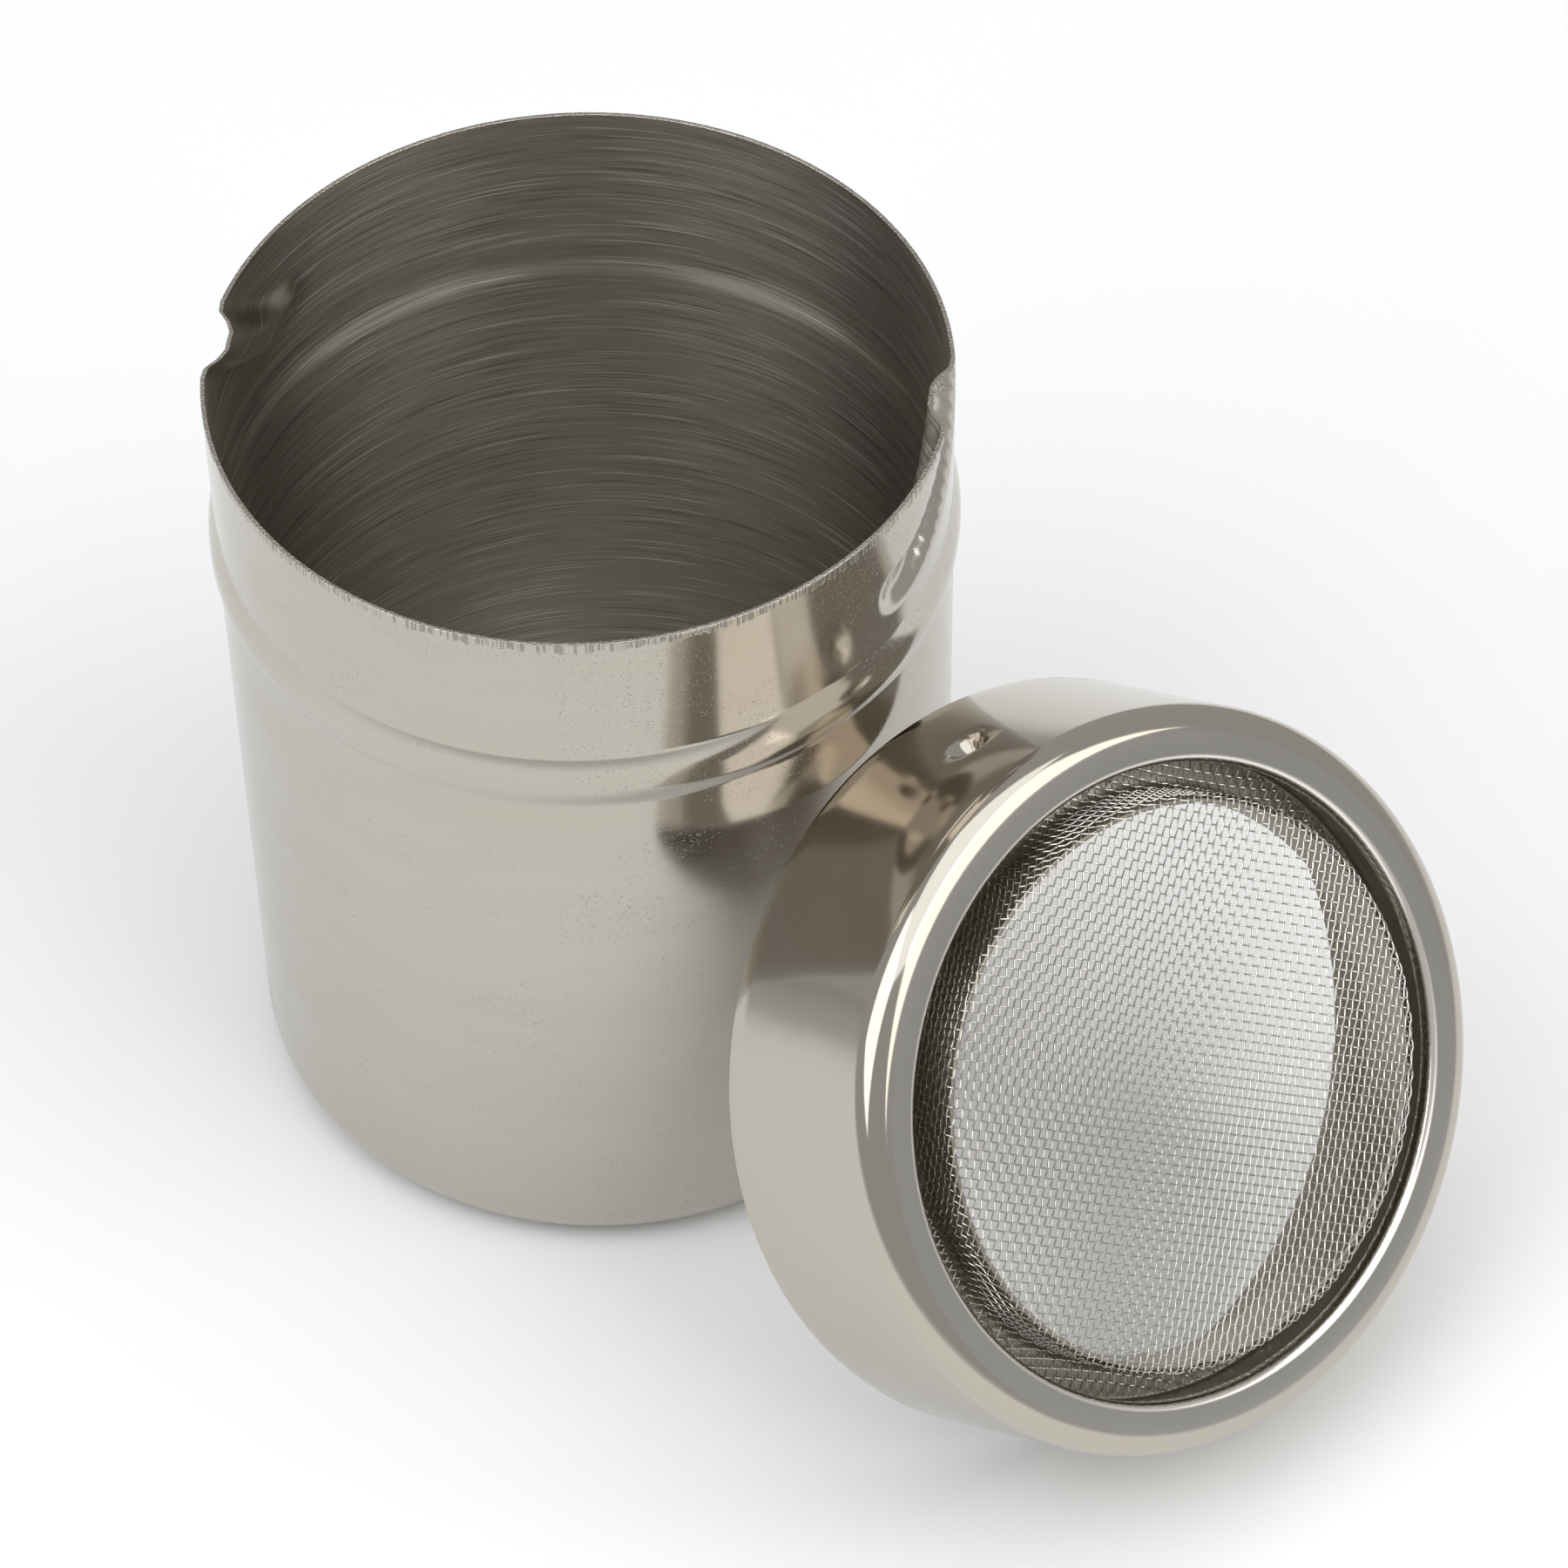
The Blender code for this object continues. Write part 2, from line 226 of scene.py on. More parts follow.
# ---- modelling ---------------------------------------------------------------------------------
def start_piece(name):
    """One loose vertex at the origin, in edit mode, from a primitive merged to its centre."""
    bpy.ops.object.select_all(action="DESELECT")
    bpy.ops.mesh.primitive_plane_add(size=SHEET, location=(0, 0, 0))
    piece = bpy.context.object
    piece.name = name
    piece.data.name = name
    bpy.ops.object.mode_set(mode="EDIT")
    bpy.ops.mesh.select_mode(type="VERT")
    bpy.ops.mesh.merge(type="CENTER")
    return piece


def draw_outline(points, start_angle):
    """Draws an outline on the plane through the axis at an angle, extruding from point to point."""
    places = [Vector((r * cos(start_angle), r * sin(start_angle), z)) for r, z in points]
    bpy.ops.transform.translate(value=places[0])
    for last, place in zip(places, places[1:]):
        bpy.ops.mesh.extrude_vertices_move(TRANSFORM_OT_translate={"value": place - last})


def spin_outline(stretches):
    """Spins the drawn outline round Z, in stretches of (angle, steps), and closes the seam."""
    bpy.ops.mesh.select_all(action="SELECT")
    for sweep, steps in stretches:
        bpy.ops.mesh.spin(steps=steps, angle=sweep, center=(0, 0, 0), axis=(0, 0, 1))
    bpy.ops.mesh.select_all(action="SELECT")
    bpy.ops.mesh.remove_doubles(threshold=WELD_DISTANCE)
    bpy.ops.mesh.normals_make_consistent(inside=False)
    bpy.ops.object.mode_set(mode="OBJECT")


def press_in(piece, press):
    """Moves the sheet's two skins towards the axis by press(angles, heights)."""
    mesh = piece.data
    points = np.empty(len(mesh.vertices) * 3)
    mesh.vertices.foreach_get("co", points)
    points = points.reshape(-1, 3)
    radii = np.hypot(points[:, 0], points[:, 1])
    depths = press(np.arctan2(points[:, 1], points[:, 0]), points[:, 2])
    shrink = 1.0 - depths / np.maximum(radii, SHEET)
    points[:, 0] *= shrink
    points[:, 1] *= shrink
    mesh.vertices.foreach_set("co", points.ravel())
    mesh.update()


def settle(piece, place, materials, slot_of=None):
    """Puts a piece in its place, with its place in its mesh, and gives it its materials."""
    for material in materials:
        piece.data.materials.append(material)
    if slot_of:
        for face in piece.data.polygons:
            face.material_index = slot_of(face)
    piece.data.transform(place)
    piece.data.shade_smooth()
    piece.data.set_sharp_from_angle(angle=SHARP_ANGLE)


def stretches_round(fine_sweep, coarse_turn):
    """Stretches of a spin: fine where a channel or dimple is pressed in, and coarse between."""
    rest = 2 * pi / CHANNEL_COUNT - fine_sweep
    fine = (fine_sweep, round(fine_sweep / PRESSED_TURN))
    return [fine, (rest, round(rest / coarse_turn))] * CHANNEL_COUNT


def fade(distance, full, none):
    """1 up to one distance, 0 beyond another, and a smooth curve between them."""
    share = np.clip((distance - full) / (none - full), 0.0, 1.0)
    return 0.5 * (1.0 + np.cos(pi * share))


def angle_between(angles, other):
    """Turn from one angle to others, from half a turn back to half a turn on."""
    return (angles - other + pi) % (2 * pi) - pi


# ---- cup ---------------------------------------------------------------------------------------
def bead_radius(height):
    """Outer radius of the rolled bead: creased above its crest, rounded and steeper below it."""
    down = (CUP_HEIGHT - BEAD_CENTRE_DROP - height) / BEAD_WIDTH + 0.5
    down = min(max(down, 0.0), 1.0)
    if down < BEAD_CREST:
        swell = sin(pi / 2 * down / BEAD_CREST)
    else:
        fall = (down - BEAD_CREST) / (1.0 - BEAD_CREST)
        swell = 0.5 + 0.5 * cos(pi * fall ** BEAD_LEAN)
    return COLLAR_RADIUS + (BODY_RADIUS - COLLAR_RADIUS) * down + BEAD_RISE * swell


def channel_press(angles, heights):
    """How far the bayonet channels push the collar inwards at each point.

    A channel runs in from the rim and bends level: its path is a quarter wave of drop against turn,
    and each point is pressed in by its distance from the nearest point of the path.
    """
    deepest = np.zeros_like(angles)
    near = heights > CUP_HEIGHT - CHANNEL_DROP - CHANNEL_HALF_WIDTH
    drops = CUP_HEIGHT - heights[near]
    for i in range(CHANNEL_COUNT):
        entry = CHANNEL_START + 2 * pi * i / CHANNEL_COUNT
        around = angle_between(angles[near], entry) * COLLAR_RADIUS
        distance = np.full_like(around, CUP_HEIGHT)
        share = np.zeros_like(around)
        for step in range(-PATH_LEAD, PATH_STEPS + 1):
            along = step / PATH_STEPS
            line_around = along * CHANNEL_SWEEP * COLLAR_RADIUS
            line_drop = CHANNEL_DROP * sin(pi / 2 * along)
            reach = np.hypot(around - line_around, drops - line_drop)
            share = np.where(reach < distance, along, share)
            distance = np.minimum(reach, distance)
        locked = 1.0 - fade(share, LOCK_START, 1.0)
        depth = CHANNEL_DEPTH + (CHANNEL_END_DEPTH - CHANNEL_DEPTH) * locked
        depth = depth * fade(distance, CHANNEL_FLAT, CHANNEL_HALF_WIDTH)
        deepest[near] = np.maximum(deepest[near], depth)
    return deepest


def make_cup(outside, inside):
    """Drawn cup with a rolled bead round it and bayonet channels pressed into its collar."""
    bead_low = CUP_HEIGHT - BEAD_CENTRE_DROP - BEAD_WIDTH / 2
    bead_high = bead_low + BEAD_WIDTH
    channel_low = CUP_HEIGHT - CHANNEL_DROP - CHANNEL_HALF_WIDTH
    skin = [(0.0, 0.0)]
    skin += arc((BODY_RADIUS - BOTTOM_CORNER, BOTTOM_CORNER), BOTTOM_CORNER, -pi / 2, 0.0, CORNER_STEPS)
    skin += rows(lambda height: BODY_RADIUS, BOTTOM_CORNER, bead_low - CREASE_HOLD, WALL_ROW)
    skin += rows(bead_radius, bead_low, bead_high, BEAD_WIDTH / BEAD_ROWS)
    skin += rows(lambda height: COLLAR_RADIUS, bead_high + CREASE_HOLD, channel_low, COLLAR_ROW)
    skin += rows(lambda height: COLLAR_RADIUS, channel_low, CUP_HEIGHT - EDGE_ROUND, PRESSED_ROW)
    piece = start_piece("drawn_cup")
    margin = CHANNEL_MARGIN * CHANNEL_HALF_WIDTH / COLLAR_RADIUS
    first_angle = CHANNEL_START + CHANNEL_SWEEP - margin
    draw_outline(sheet_outline(skin, 0.0, SHEET, closed=False), first_angle)
    spin_outline(stretches_round(2 * margin - CHANNEL_SWEEP, CUP_TURN))
    press_in(piece, channel_press)

    def slot_of(face):
        """0 outside and on the cut rim, 1 inside."""
        towards_axis = face.normal.x * face.center.x + face.normal.y * face.center.y < 0
        on_floor = face.normal.z > FLOOR_SHARE and face.center.z < CUP_HEIGHT / 2
        on_rim = face.center.z > CUP_HEIGHT - EDGE_ROUND
        return int((towards_axis or on_floor) and not on_rim)

    settle(piece, UPRIGHT, [outside, inside], slot_of)
    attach(piece, "cup_body")
    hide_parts("cup")


# ---- lid shell ---------------------------------------------------------------------------------
def skirt_radius(height):
    """Outer radius of the skirt, which widens a little towards its mouth."""
    share = height / (LID_HEIGHT - SHOULDER_RADIUS)
    return MOUTH_RADIUS + (SKIRT_TOP_RADIUS - MOUTH_RADIUS) * share


def dimple_press(angles, heights):
    """How far the two dimples push the skirt inwards at each point."""
    depth = skirt_radius(DIMPLE_HEIGHT) - SHEET - COLLAR_RADIUS + CHANNEL_DEPTH - DIMPLE_FREE
    deepest = np.zeros_like(angles)
    for i in range(CHANNEL_COUNT):
        around = angle_between(angles, pi / 2 + 2 * pi * i / CHANNEL_COUNT) * SKIRT_TOP_RADIUS
        distance = np.hypot(around, heights - DIMPLE_HEIGHT)
        deepest = np.maximum(deepest, depth * fade(distance, 0.0, DIMPLE_RADIUS))
    return deepest


def make_lid_shell(outside, inside):
    """Drawn lid: dimpled skirt, rounded shoulder, flat rim and a lip turned down."""
    below = DIMPLE_HEIGHT - DIMPLE_RADIUS
    above = DIMPLE_HEIGHT + DIMPLE_RADIUS
    shoulder_low = LID_HEIGHT - SHOULDER_RADIUS
    lip_centre = (OPENING_RADIUS + LIP_ROUNDING, LID_HEIGHT - LIP_ROUNDING)
    shoulder_centre = (SKIRT_TOP_RADIUS - SHOULDER_RADIUS, shoulder_low)
    skin = rows(skirt_radius, EDGE_ROUND, below, SKIRT_ROW)
    skin += rows(skirt_radius, below, above, PRESSED_ROW)
    skin += rows(skirt_radius, above, shoulder_low, SKIRT_ROW)
    skin += arc(shoulder_centre, SHOULDER_RADIUS, 0.0, pi / 2, SHOULDER_STEPS)
    skin += arc(lip_centre, LIP_ROUNDING, pi / 2, pi, CORNER_STEPS)
    skin += [(OPENING_RADIUS, LID_HEIGHT - LIP_HEIGHT + EDGE_ROUND)]
    piece = start_piece("drawn_lid_shell")
    margin = DIMPLE_MARGIN * DIMPLE_RADIUS / SKIRT_TOP_RADIUS
    draw_outline(sheet_outline(skin, 0.0, SHEET, closed=True), pi / 2 - margin)
    spin_outline(stretches_round(2 * margin, LID_TURN))
    press_in(piece, dimple_press)

    def slot_of(face):
        """0 on the skirt, shoulder, rim and lip, 1 inside."""
        towards_axis = face.normal.x * face.center.x + face.normal.y * face.center.y < -ROUNDING_ERROR
        radius = hypot(face.center.x, face.center.y)
        under = face.normal.z < -LEVEL_SHARE and face.center.z > EDGE_ROUND
        behind_lip = radius > OPENING_RADIUS + LIP_ROUNDING + SHEET
        lip_back = not towards_axis and radius < OPENING_RADIUS + LIP_ROUNDING
        return int(under or (towards_axis and behind_lip) or (lip_back and face.normal.z < LEVEL_SHARE))

    settle(piece, LID_PLACE, [outside, inside], slot_of)
    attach(piece, "lid_body")
    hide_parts("lid_shell")


# ---- ring and screen ---------------------------------------------------------------------------
SCREEN_TOP = LID_HEIGHT + SCREEN_RISE
FLANGE_TOP = SCREEN_TOP - SCREEN_DEPTH
RING_WALL = OPENING_RADIUS + SHEET + PIECE_GAP + SHEET / 2


def make_ring(steel):
    """Ring with a channel for the screen's flange and a tube inside the screen's wall."""
    top = LID_HEIGHT - SHEET - PIECE_GAP - SHEET / 2
    low = FLANGE_TOP - SCREEN_THICKNESS - PIECE_GAP - SHEET / 2
    corner = SHOULDER_RADIUS - SHEET
    corner_reach = sqrt(corner ** 2 - (corner - PIECE_GAP) ** 2)
    outer_edge = SKIRT_TOP_RADIUS - SHOULDER_RADIUS + corner_reach - RING_SHOULDER_FREE
    middle = [(outer_edge - EDGE_ROUND, top)]
    middle += arc((RING_WALL + RING_BEND, top - RING_BEND), RING_BEND, pi / 2, pi, BEND_STEPS)
    middle += arc((RING_WALL - RING_BEND, low + RING_BEND), RING_BEND, 0.0, -pi / 2, BEND_STEPS)
    tube_bend = SCREEN_CORNER + SCREEN_THICKNESS + PIECE_GAP + SHEET / 2
    tube_end = SCREEN_TOP - SCREEN_CORNER - EDGE_ROUND
    tube_centre = (SCREEN_RADIUS + SCREEN_CORNER, low + tube_bend)
    middle += arc(tube_centre, tube_bend, -pi / 2, -pi, BEND_STEPS)
    middle += [(SCREEN_RADIUS + SCREEN_CORNER - tube_bend, tube_end)]
    piece = start_piece("pressed_ring")
    draw_outline(sheet_outline(middle, SHEET / 2, SHEET / 2, closed=True), 0.0)
    spin_outline([(2 * pi, RING_STEPS)])
    settle(piece, LID_PLACE, [steel])
    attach(piece, "lid_body")
    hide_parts("retaining_ring")


def pressed_screen_form():
    """Middle of the pressed screen: lengths along it from the centre, radii and heights."""
    half = SCREEN_THICKNESS / 2
    corner = SCREEN_CORNER
    edge = RING_WALL - SHEET / 2 - PIECE_GAP - WIRE_RADIUS
    upper_centre = (SCREEN_RADIUS - corner, SCREEN_TOP - corner)
    lower_centre = (SCREEN_RADIUS + corner, FLANGE_TOP + corner)
    form = [(0.0, SCREEN_TOP - half)]
    form += arc(upper_centre, corner - half, pi / 2, 0.0, CORNER_STEPS)
    form += arc(lower_centre, corner + half, pi, 3 * pi / 2, CORNER_STEPS)
    form += [(edge, FLANGE_TOP - half)]
    form = np.array(without_repeats(form))
    lengths = np.concatenate([[0.0], np.cumsum(np.hypot(*np.diff(form, axis=0).T))])
    return lengths, form[:, 0], form[:, 1]


FORM_LENGTHS, FORM_RADII, FORM_HEIGHTS = pressed_screen_form()


def pressed(flat, lift):
    """Points of the flat weave, lifted off its middle, as they lie once the screen is pressed.

    A point keeps its bearing and its length along the cloth from the centre, and its lift stays
    square to the cloth.
    """
    reach = np.maximum(np.hypot(flat[:, 0], flat[:, 1]), LEAST_LENGTH)
    radius = np.interp(reach, FORM_LENGTHS, FORM_RADII)
    height = np.interp(reach, FORM_LENGTHS, FORM_HEIGHTS)
    ahead = reach + WIRE_RADIUS
    behind = reach - WIRE_RADIUS
    run = np.interp(ahead, FORM_LENGTHS, FORM_RADII) - np.interp(behind, FORM_LENGTHS, FORM_RADII)
    rise = np.interp(ahead, FORM_LENGTHS, FORM_HEIGHTS) - np.interp(behind, FORM_LENGTHS, FORM_HEIGHTS)
    length = np.maximum(np.hypot(run, rise), LEAST_LENGTH)
    radius = radius - lift * rise / length
    height = height + lift * run / length
    outwards = flat / reach[:, None]
    return np.column_stack([outwards * radius[:, None], height])


def make_wires(name, direction, own_pitch, other_pitch, side, first_over, steel):
    """Half of the screen's wires that run one way, on one side of the screen's centre."""
    edge = FORM_LENGTHS[-1]
    along = np.array((cos(direction), sin(direction)))
    across = np.array((-sin(direction), cos(direction)))
    curve = bpy.data.curves.new(name, "CURVE")
    curve.dimensions = "3D"
    curve.bevel_depth = WIRE_RADIUS
    curve.bevel_resolution = 1
    curve.use_fill_caps = True
    for count in range(int(edge / own_pitch)):
        number = count if side > 0 else -1 - count
        shift = (number + 0.5) * own_pitch
        if abs(shift) > edge - own_pitch:
            continue
        half = sqrt(edge ** 2 - shift ** 2)
        steps = int(2 * half / other_pitch * WIRE_POINTS)
        travel = np.linspace(-half, half, steps + 1)
        flat = shift * across + travel[:, None] * along
        swing = cos(pi * number) * np.cos(pi * (travel / other_pitch - 0.5))
        points = pressed(flat, first_over * WIRE_CRIMP * swing)
        spline = curve.splines.new("POLY")
        spline.points.add(len(points) - 1)
        spline.points.foreach_set("co", np.column_stack([points, np.ones(len(points))]).ravel())
        spline.use_smooth = True
    piece = bpy.data.objects.new(name, curve)
    bpy.context.collection.objects.link(piece)
    bpy.ops.object.select_all(action="DESELECT")
    piece.select_set(True)
    bpy.context.view_layer.objects.active = piece
    bpy.ops.object.convert(target="MESH")
    piece = bpy.context.object
    settle(piece, LID_PLACE, [steel])
    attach(piece, "lid_body")
    return piece


def make_screen(steel):
    """The woven screen: warp and weft wires, each in an upper and a lower half."""
    warp = (WARP_DIRECTION, WARP_PITCH, WEFT_PITCH)
    weft = (WARP_DIRECTION - pi / 2, WEFT_PITCH, WARP_PITCH)
    wires = []
    for side, word in ((1, "upper"), (-1, "lower")):
        wires.append(make_wires(f"warp_wires_{word}", *warp, side, 1, steel))
        wires.append(make_wires(f"weft_wires_{word}", *weft, side, -1, steel))
    for piece in wires:
        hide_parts("mesh_screen")


# ---- materials ---------------------------------------------------------------------------------
STEEL = (0.495, 0.455, 0.395)
COOL_STEEL = (0.52, 0.51, 0.485)
# bright steel of the inside's real scratches, and the painted highlight on the lid's rolled lip
SCRATCH_AND_HIGHLIGHT_STEEL = (0.82, 0.79, 0.73)
INSIDE_STEEL = (0.45, 0.424, 0.365)
SATIN_STEEL = (0.46, 0.445, 0.42)
DULL_STEEL = (0.20, 0.185, 0.16)
RING_STEEL = (0.43, 0.405, 0.345)
WIRE_STEEL = (0.62, 0.60, 0.55)

MARK_LENGTH = 0.0009            # shear marks reach down from the rim by two uneven lengths
MARK_SWELL = 0.0011
MARK_FADE = 0.0002
SATIN_START = 0.00030           # the rim's satin starts this far below the lid's top
SATIN_FULL = 0.00004            # and is full from this far below it
SATIN_EDGE_IN = 0.0002          # it fades from this far inside the shoulder's edge
SATIN_EDGE_OUT = 0.0006         # to this far outside it
LIP_HIGHLIGHT_FULL = 0.0005             # the lip has a painted highlight from the opening to this far outside it
LIP_HIGHLIGHT_GONE = 0.0008
SHINE_STRETCH = 0.9             # how far the inside's highlights stretch across its lines
SHINE_TURN = 0.25               # and their turn from the lines, in whole turns
MIX_SHARE = 0                   # a Mix node's inputs, by number, when it mixes two colours
MIX_FIRST = 6
MIX_SECOND = 7
MIX_COLOUR = 2                  # and its output


class Value:
    """A shader socket in an expression: every operator adds its Math node."""

    def __init__(self, finish, socket):
        self.finish = finish
        self.socket = socket

    def maths(self, operation, first, second):
        inputs = {0: first, 1: second}
        return self.finish.node("ShaderNodeMath", {"operation": operation}, inputs)

    def __add__(self, other):
        return self.maths("ADD", self, other)

    def __sub__(self, other):
        return self.maths("SUBTRACT", self, other)

    def __rsub__(self, other):
        return self.maths("SUBTRACT", other, self)

    def __mul__(self, other):
        return self.maths("MULTIPLY", self, other)

    __radd__ = __add__
    __rmul__ = __mul__


class Finish:
    """A material, metal unless it is told otherwise, whose nodes are added one call at a time."""

    def __init__(self, name):
        self.material = bpy.data.materials.new(name)
        self.material.use_nodes = True
        self.tree = self.material.node_tree
        self.shader = self.tree.nodes["Principled BSDF"]
        self.put("Metallic", 1.0)
        self.place = self.node("ShaderNodeTexCoord", {}, {}, out="Object")

    def node(self, kind, settings, inputs, out=0):
        """Adds a node: its settings first, then the values or links of its sockets."""
        added = self.tree.nodes.new(kind)
        for key, value in settings.items():
            setattr(added, key, value)
        for key, value in inputs.items():
            self.feed(added.inputs[key], value)
        return Value(self, added.outputs[out])

    def feed(self, socket, value):
        """Links an expression to a socket, or sets the socket to a plain value."""
        if isinstance(value, Value):
            self.tree.links.new(value.socket, socket)
        else:
            socket.default_value = value

    def put(self, socket_name, value):
        """Feeds one of the shader's own sockets."""
        self.feed(self.shader.inputs[socket_name], value)

    def turned_to(self, placement):
        """Reads places in the frame of a piece that leans, Z along its own axis."""
        settings = {"vector_type": "TEXTURE"}
        inputs = {"Location": placement.translation, "Rotation": placement.to_euler()}
        self.place = self.node("ShaderNodeMapping", settings, {"Vector": self.place, **inputs})

    def stretched(self, around, up):
        """Places scaled sideways and along the axis, for patterns longer one way than another."""
        scale = (around, around, up)
        return self.node("ShaderNodeVectorMath", {"operation": "MULTIPLY"}, {0: self.place, 1: scale})

    def grain(self, around, up, detail=2.0, roughness=0.5):
        """Noise from 0 to 1 with its own scale round the piece and along its axis, per metre."""
        inputs = {"Vector": self.stretched(around, up), "Scale": 1.0, "Detail": detail}
        inputs["Roughness"] = roughness
        return self.node("ShaderNodeTexNoise", {}, inputs, out="Fac")

    def between(self, value, low, high):
        """0 below low, 1 above high, and a smooth step between them."""
        settings = {"interpolation_type": "SMOOTHSTEP"}
        inputs = {"Value": value, "From Min": low, "From Max": high}
        return self.node("ShaderNodeMapRange", settings, inputs)

    def turning_lines(self):
        """Fine lines all round, as polishing in a lathe leaves them."""
        return self.grain(around=90.0, up=5200.0, detail=3.0)

    def height(self):
        """Height along the piece's axis."""
        return self.node("ShaderNodeSeparateXYZ", {}, {0: self.place}, out="Z")

    def radius(self):
        """Distance from the piece's axis."""
        flat = self.stretched(1.0, 0.0)
        return self.node("ShaderNodeVectorMath", {"operation": "LENGTH"}, {0: flat}, out="Value")

    def blend(self, share, colour, other):
        """A colour that goes to another one as share goes from 0 to 1."""
        inputs = {MIX_SHARE: share, MIX_FIRST: as_colour(colour), MIX_SECOND: as_colour(other)}
        return self.node("ShaderNodeMix", {"data_type": "RGBA"}, inputs, out=MIX_COLOUR)

    def bump(self, relief, distance, below=None):
        """Normal of a relief from 0 to 1 that is this many metres high."""
        inputs = {"Height": relief, "Distance": distance, "Strength": 1.0}
        if below:
            inputs["Normal"] = below
        return self.node("ShaderNodeBump", {}, inputs)


def as_colour(value):
    """A colour as a socket takes it: an expression as it is, and plain values with an alpha."""
    return value if isinstance(value, Value) else (*value, 1.0)


def cup_polish():
    """Polished outside: faint turning lines, small pits and rough shear marks under the cut rim."""
    finish = Finish("polished_cup")
    drop = CUP_HEIGHT - finish.height()
    lines = finish.turning_lines()
    haze = finish.grain(around=55.0, up=40.0)
    pits = finish.between(finish.grain(around=5200.0, up=5200.0, detail=0.0), 0.72, 0.80)
    pit_zones = finish.between(finish.grain(around=95.0, up=160.0), 0.48, 0.62)
    pits = pits * pit_zones
    marks = finish.between(finish.grain(around=4200.0, up=0.0, detail=0.0), 0.46, 0.60)
    marks = marks * finish.between(finish.grain(around=260.0, up=0.0, detail=1.0), 0.28, 0.48)
    mark_end = finish.grain(around=1500.0, up=0.0, detail=0.0) * MARK_LENGTH
    mark_end = mark_end + finish.grain(around=90.0, up=0.0) * MARK_SWELL
    marks = marks * (1.0 - finish.between(drop, mark_end - MARK_FADE, mark_end))
    streaks = finish.between(finish.grain(around=16.0, up=110.0, detail=4.0, roughness=0.6), 0.36, 0.70)
    toned = finish.blend(streaks * 0.4, STEEL, COOL_STEEL)
    worn = finish.blend(pits * 0.35, toned, DULL_STEEL)
    finish.put("Base Color", finish.blend(marks * 0.6, worn, DULL_STEEL))
    finish.put("Roughness", 0.05 + haze * 0.06 + lines * 0.11 + marks * 0.2)
    relief = finish.bump(lines, distance=0.0000008)
    relief = finish.bump(haze, distance=0.00006, below=relief)
    finish.put("Normal", finish.bump(1.0 - pits - marks, distance=0.00003, below=relief))
    return finish.material


def brushed_inside(name, steel, placement=None):
    """Inside of a drawn piece: coarse turning lines all round, with single bright scratches."""
    finish = Finish(name)
    finish.put("Anisotropic", SHINE_STRETCH)
    finish.put("Anisotropic Rotation", SHINE_TURN)
    if placement:
        finish.turned_to(placement)
    fine = finish.grain(around=130.0, up=7000.0, detail=3.0)
    coarse = finish.grain(around=70.0, up=2300.0)
    scratches = finish.between(finish.grain(around=60.0, up=6500.0, detail=1.0), 0.60, 0.68)
    dark_lines = finish.between(finish.grain(around=80.0, up=3600.0, detail=1.0), 0.54, 0.70)
    lined = finish.blend(dark_lines * 0.55, steel, DULL_STEEL)
    finish.put("Base Color", finish.blend(scratches * 0.9, lined, SCRATCH_AND_HIGHLIGHT_STEEL))
    finish.put("Roughness", 0.30 + coarse * 0.12)
    relief = finish.bump(coarse, distance=0.00003)
    finish.put("Normal", finish.bump(fine, distance=0.00002, below=relief))
    return finish.material


def lid_polish():
    """Mirror-polished skirt and shoulder, with a satin flat rim and a painted highlight on the rolled
    lip.
    """
    finish = Finish("polished_lid")
    finish.turned_to(LID_PLACE)
    radius = finish.radius()
    height = finish.height()
    flat_edge = SKIRT_TOP_RADIUS - SHOULDER_RADIUS
    on_top = finish.between(height, LID_HEIGHT - SATIN_START, LID_HEIGHT - SATIN_FULL)
    past_edge = finish.between(radius, flat_edge - SATIN_EDGE_IN, flat_edge + SATIN_EDGE_OUT)
    satin = on_top * (1.0 - past_edge)
    speckle = finish.grain(around=6500.0, up=6500.0)
    haze = finish.grain(around=70.0, up=60.0)
    lines = finish.turning_lines()
    finish.put("Roughness", 0.055 + haze * 0.05 + lines * 0.02 + satin * 0.20)
    rim_tone = finish.blend(speckle * 0.35, SATIN_STEEL, DULL_STEEL)
    # painted highlight: the rolled lip near the opening is painted in bright steel
    past_lip_highlight = finish.between(radius, OPENING_RADIUS + LIP_HIGHLIGHT_FULL, OPENING_RADIUS + LIP_HIGHLIGHT_GONE)
    toned = finish.blend(satin, STEEL, rim_tone)
    finish.put("Base Color", finish.blend(1.0 - past_lip_highlight, toned, SCRATCH_AND_HIGHLIGHT_STEEL))
    relief = finish.bump(haze, distance=0.00005)
    relief = finish.bump(lines, distance=0.0000006, below=relief)
    finish.put("Normal", finish.bump(speckle * satin, distance=0.00001, below=relief))
    return finish.material


def rolled_ring():
    """Plain rolled steel with fine lines round it."""
    finish = Finish("rolled_ring")
    finish.put("Base Color", as_colour(RING_STEEL))
    finish.turned_to(LID_PLACE)
    lines = finish.grain(around=110.0, up=5200.0, detail=3.0)
    finish.put("Roughness", 0.32 + lines * 0.15)
    finish.put("Normal", finish.bump(lines, distance=0.000004))
    return finish.material


def drawn_wire():
    """Bright drawn wire that is duller in places."""
    finish = Finish("drawn_wire")
    tone = finish.grain(around=900.0, up=900.0)
    finish.put("Base Color", finish.blend(tone * 0.35, WIRE_STEEL, DULL_STEEL))
    finish.put("Roughness", 0.10 + tone * 0.16)
    return finish.material


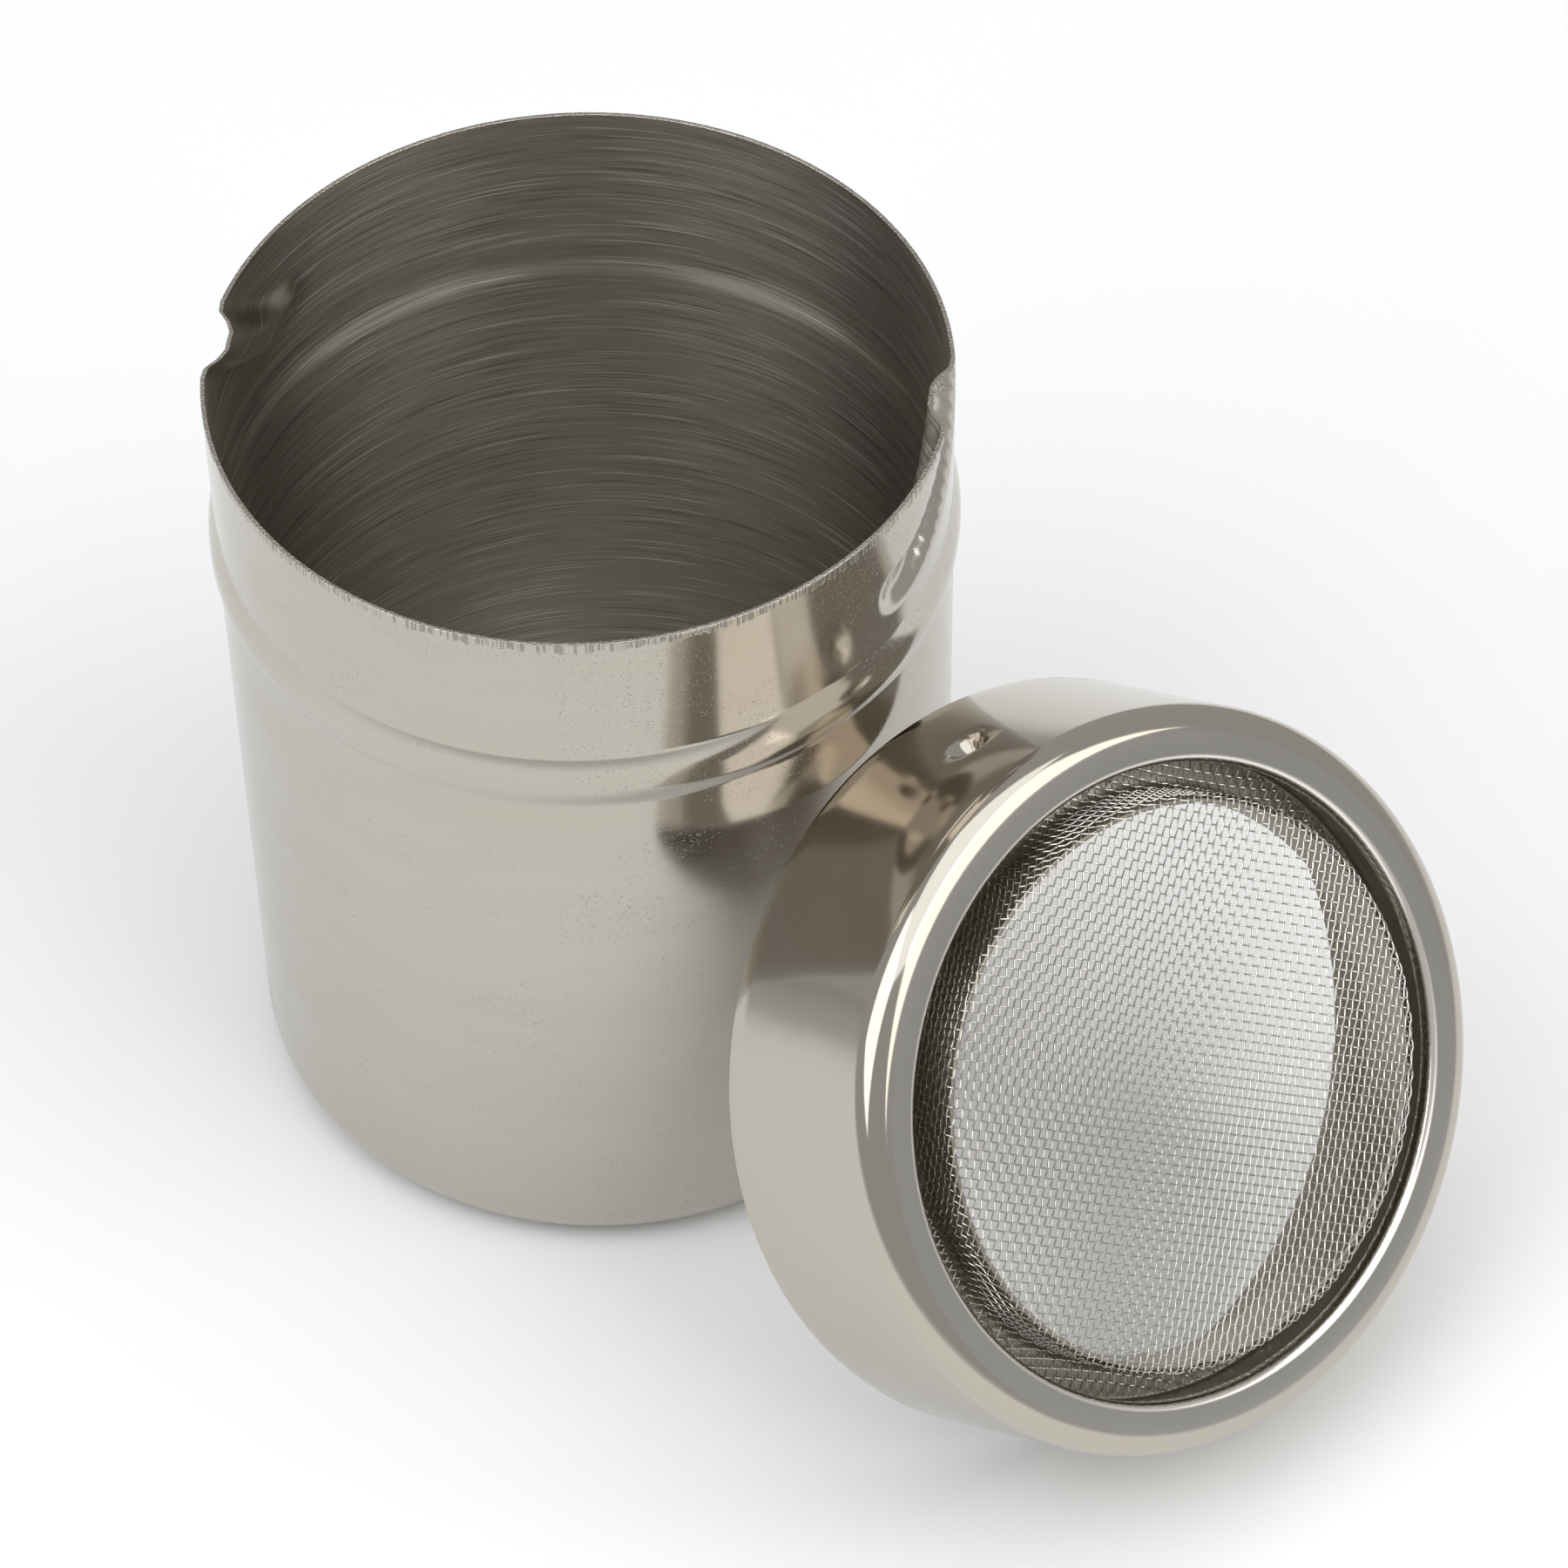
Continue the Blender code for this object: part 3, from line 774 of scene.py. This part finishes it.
# ---- floor, lights and camera ------------------------------------------------------------------
PAPER = (0.88, 0.88, 0.88)
FALLOFF_SHADE_GREY = (0.50, 0.50, 0.50)
LIGHT_POOL_REACH = 0.24               # a painted pool of light keeps the paper pale up to this far from the cup's middle
SHADE_FULL_REACH = 0.5                 # and the painted shade beyond it is full from this far
FLOOR_SIZE = 3.0
FLOOR_DROP = 0.0002
STUDIO_GREY = (0.50, 0.50, 0.50)
STUDIO_MIDDLE = (0.02, -0.01, 0.04)
SOFTBOXES = (                   # name, place, side length, power in watts and colour
    ("overhead_softbox", (0.0, -0.1, 1.3), 1.3, 6.9, (0.93, 0.965, 1.0)),
    ("left_softbox", (-0.95, -0.55, 1.1), 1.2, 8.2, (0.93, 0.97, 1.0)),
    ("right_softbox", (0.95, -0.55, 1.1), 1.2, 8.2, (1.0, 0.98, 0.95)),
)


def make_floor():
    """Paper floor: a painted pool of light round the pieces, and painted shade that greys it farther
    out.
    """
    bpy.ops.object.select_all(action="DESELECT")
    bpy.ops.mesh.primitive_plane_add(size=FLOOR_SIZE, location=(0, 0, -FLOOR_DROP))
    floor = bpy.context.object
    floor.name = "pale_floor"
    paper = Finish("pale_paper")
    paper.put("Metallic", 0.0)
    paper.put("Roughness", 0.9)
    paper.put("Specular IOR Level", 0.1)
    # painted light and shade: the paper is paler near the cup and greyer far out
    painted_falloff = paper.between(paper.radius(), LIGHT_POOL_REACH, SHADE_FULL_REACH)
    paper.put("Base Color", paper.blend(painted_falloff, PAPER, FALLOFF_SHADE_GREY))
    floor.data.materials.append(paper.material)


def add_softbox(name, place, side, power, colour):
    """Square area light that points at the middle of the studio."""
    light = bpy.data.lights.new(name, "AREA")
    light.shape = "SQUARE"
    light.size = side
    light.energy = power
    light.color = colour
    lamp = bpy.data.objects.new(name, light)
    bpy.context.collection.objects.link(lamp)
    lamp.location = place
    aim = Vector(STUDIO_MIDDLE) - Vector(place)
    lamp.rotation_euler = aim.to_track_quat("-Z", "Y").to_euler()


def make_lights():
    """Even grey studio with a softbox overhead and one to each side in front."""
    world = bpy.data.worlds.new("studio")
    world.use_nodes = True
    world.node_tree.nodes["Background"].inputs["Color"].default_value = (*STUDIO_GREY, 1.0)
    bpy.context.scene.world = world
    for softbox in SOFTBOXES:
        add_softbox(*softbox)


CAMERA_PLACE = (0.0, -0.4012, 0.4892)
CAMERA_YAW = 0.0481             # turns of the camera, in radians
CAMERA_DOWN = 0.8522
CAMERA_ROLL = 0.0139
CAMERA_LENS = 133.98            # in millimetres, as is the width of its sensor
CAMERA_SENSOR = 36.0
CAMERA_NEAREST = 0.01


def make_camera():
    """Camera in front of the cup and above it, looking down into it."""
    camera = bpy.data.cameras.new("camera")
    camera.lens = CAMERA_LENS
    camera.sensor_width = CAMERA_SENSOR
    holder = bpy.data.objects.new("camera", camera)
    bpy.context.collection.objects.link(holder)
    turn = Matrix.Rotation(-CAMERA_YAW, 4, "Z") @ Matrix.Rotation(pi / 2 - CAMERA_DOWN, 4, "X")
    turn = turn @ Matrix.Rotation(-CAMERA_ROLL, 4, "Z")
    holder.matrix_world = Matrix.Translation(CAMERA_PLACE) @ turn
    camera.clip_start = CAMERA_NEAREST
    bpy.context.scene.camera = holder
    bpy.context.scene.view_settings.view_transform = "Standard"


make_camera()
make_floor()
make_lights()
make_cup(cup_polish(), brushed_inside("brushed_cup_inside", INSIDE_STEEL))
make_lid_shell(lid_polish(), brushed_inside("brushed_lid_inside", STEEL, LID_PLACE))
make_ring(rolled_ring())
make_screen(drawn_wire())
